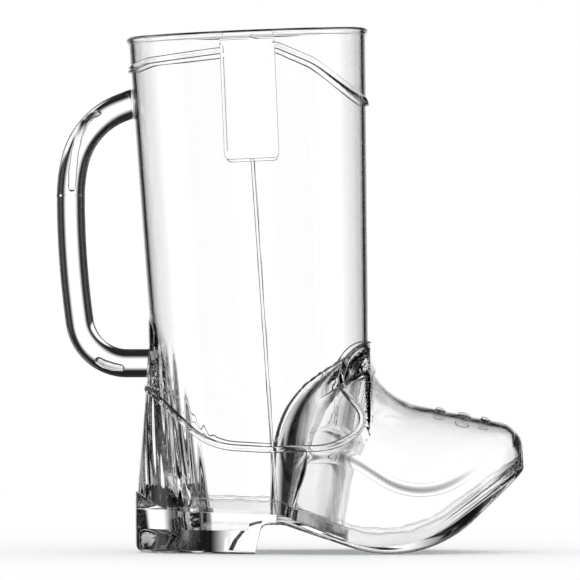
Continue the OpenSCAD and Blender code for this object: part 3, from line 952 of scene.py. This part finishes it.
def finish_piece(ob, node, material):
    """Smooth shading with true edges, finish, body and node; the CAD part of that node is hidden."""
    me = ob.data
    me.materials.clear()
    me.materials.append(material)
    me.polygons.foreach_set("use_smooth", np.ones(len(me.polygons), bool))
    me.polygons.foreach_set("material_index", np.zeros(len(me.polygons), np.int32))
    me.set_sharp_from_angle(angle=SHARP)
    ob.name = node
    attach(ob, "root")
    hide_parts(node)


finish_piece(make_upper(), "upper", PLASTIC)
finish_piece(make_sole(), "sole_unit", PLASTIC)
finish_piece(make_handle(), "handle", PLASTIC)
finish_piece(make_sole_bond(), "sole_bond", CEMENT)
finish_piece(make_handle_bonds(), "handle_bonds", CEMENT)


# Floor, light and camera

def make_floor():
    """A pale round of paper just under the cup."""
    radius, corners, under = 0.9, 96, -0.0002
    t = np.linspace(0, 2 * math.pi, corners, endpoint=False)
    me = bpy.data.meshes.new("floor")
    rim = np.column_stack([radius * np.cos(t), radius * np.sin(t), np.full(corners, under)])
    me.from_pydata(rim.tolist(), [], [list(range(corners))])
    ob = bpy.data.objects.new("floor", me)
    bpy.context.scene.collection.objects.link(ob)
    m = bpy.data.materials.new("pale_paper")
    m.use_nodes = True
    p = m.node_tree.nodes["Principled BSDF"]
    p.inputs["Base Color"].default_value = srgb("FFFFFF")
    p.inputs["Roughness"].default_value = 0.9
    p.inputs["Specular IOR Level"].default_value = 0.0
    me.materials.append(m)
    # clear plastic sees the field behind the floor, as in the photo's bright-field light
    ob.visible_transmission = False
    ob.visible_glossy = False
    return ob


def make_world():
    """White to the camera and to the floor. Clear plastic sees a bright panel behind it, weaker
    ones on its other sides, low panels between them and darkness elsewhere."""
    world = bpy.data.worlds.new("bright field")
    bpy.context.scene.world = world
    world.use_nodes = True
    tree = world.node_tree
    tree.nodes.clear()
    way = add_node(tree, "ShaderNodeTexCoord").outputs["Generated"]
    flat = add_node(tree, "ShaderNodeVectorMath", {0: way, 1: (1, 1, 0)}, operation="MULTIPLY")
    flat = add_node(tree, "ShaderNodeVectorMath", {0: flat.outputs["Vector"]}, operation="NORMALIZE")
    across = add_node(tree, "ShaderNodeSeparateXYZ", {0: flat.outputs["Vector"]}).outputs["X"]
    _, y, z = add_node(tree, "ShaderNodeSeparateXYZ", {0: way}).outputs
    # 1 towards the ends of the cup, 0 towards its sides
    end = add_node(tree, "ShaderNodeMath", {0: across, 1: across}, operation="MULTIPLY").outputs[0]
    # cos of four times the azimuth: 1 on the panels, -1 between them
    fold = add_node(tree, "ShaderNodeMath", {0: end, 1: 1.0}, operation="SUBTRACT").outputs[0]
    fold = add_node(tree, "ShaderNodeMath", {0: fold, 1: end}, operation="MULTIPLY").outputs[0]
    fold = add_node(tree, "ShaderNodeMath", {0: fold, 1: 8.0, 2: 1.0}, operation="MULTIPLY_ADD").outputs[0]
    # each panel is a product of soft steps: what it follows, from, to, and the strength at both
    panels = {
        "upright": ((fold, -0.2, 0.75, 0, 1), (end, 0.3, 0.8, 1, 0.4), (y, -0.5, -0.1, 0.25, 1),
                    (z, 0.14, 0.42, 1, 0), (z, -0.44, -0.16, 0, 1)),
        "straight behind the ends": ((end, 0.93, 0.985, 0, 0.8), (z, 0.14, 0.42, 1, 0),
                                     (z, -0.44, -0.16, 0, 1)),
        "low, for a view from above": ((fold, -0.85, -0.35, 1, 0), (z, -0.22, -0.12, 1, 0),
                                       (z, -0.8, -0.65, 0, 1)),
    }
    # a trace of light between the panels
    seen = 0.01
    for name, steps in panels.items():
        light = FIELD
        for follows, start, stop, first, last in steps:
            step = add_node(tree, "ShaderNodeMapRange", {
                "Value": follows, "From Min": start, "From Max": stop, "To Min": first, "To Max": last,
            }, interpolation_type="SMOOTHSTEP").outputs["Result"]
            light = add_node(tree, "ShaderNodeMath", {0: light, 1: step}, operation="MULTIPLY",
                             label=name).outputs[0]
        seen = add_node(tree, "ShaderNodeMath", {0: seen, 1: light}, operation="MAXIMUM").outputs[0]
    path = add_node(tree, "ShaderNodeLightPath").outputs
    clear_ray = add_node(tree, "ShaderNodeMath", {0: path["Is Transmission Ray"], 1: path["Is Glossy Ray"]},
                         operation="MAXIMUM").outputs[0]
    strength = add_node(tree, "ShaderNodeMix", {"Factor": clear_ray, "A": 1.0, "B": seen}, data_type="FLOAT")
    field = add_node(tree, "ShaderNodeBackground",
                     {"Color": srgb("FFFFFF"), "Strength": strength.outputs["Result"]})
    add_node(tree, "ShaderNodeOutputWorld", {"Surface": field.outputs["Background"]})


def make_camera():
    """Straight on from the side, at the photo's scale."""
    away, sensor = 3.2, 36.0
    cam = bpy.data.cameras.new("camera")
    cam.sensor_width = sensor
    cam.lens = sensor * away / (PHOTO * PX * 0.001)
    cam.dof.use_dof = False
    cam.clip_end = 20
    ob = bpy.data.objects.new("camera", cam)
    bpy.context.scene.collection.objects.link(ob)
    x, z = (PHOTO / 2 - ORIGIN_PX[0]) * PX - MID_X, (ORIGIN_PX[1] - PHOTO / 2) * PX
    ob.location = (x * 0.001, -away, z * 0.001)
    ob.rotation_euler = (math.pi / 2, 0, 0)
    bpy.context.scene.camera = ob


make_floor()
make_world()
make_camera()
sc = bpy.context.scene
sc.view_settings.view_transform = "Standard"
sc.cycles.max_bounces = 40
sc.cycles.transmission_bounces = 40
sc.cycles.glossy_bounces = 16
sc.cycles.transparent_max_bounces = 40
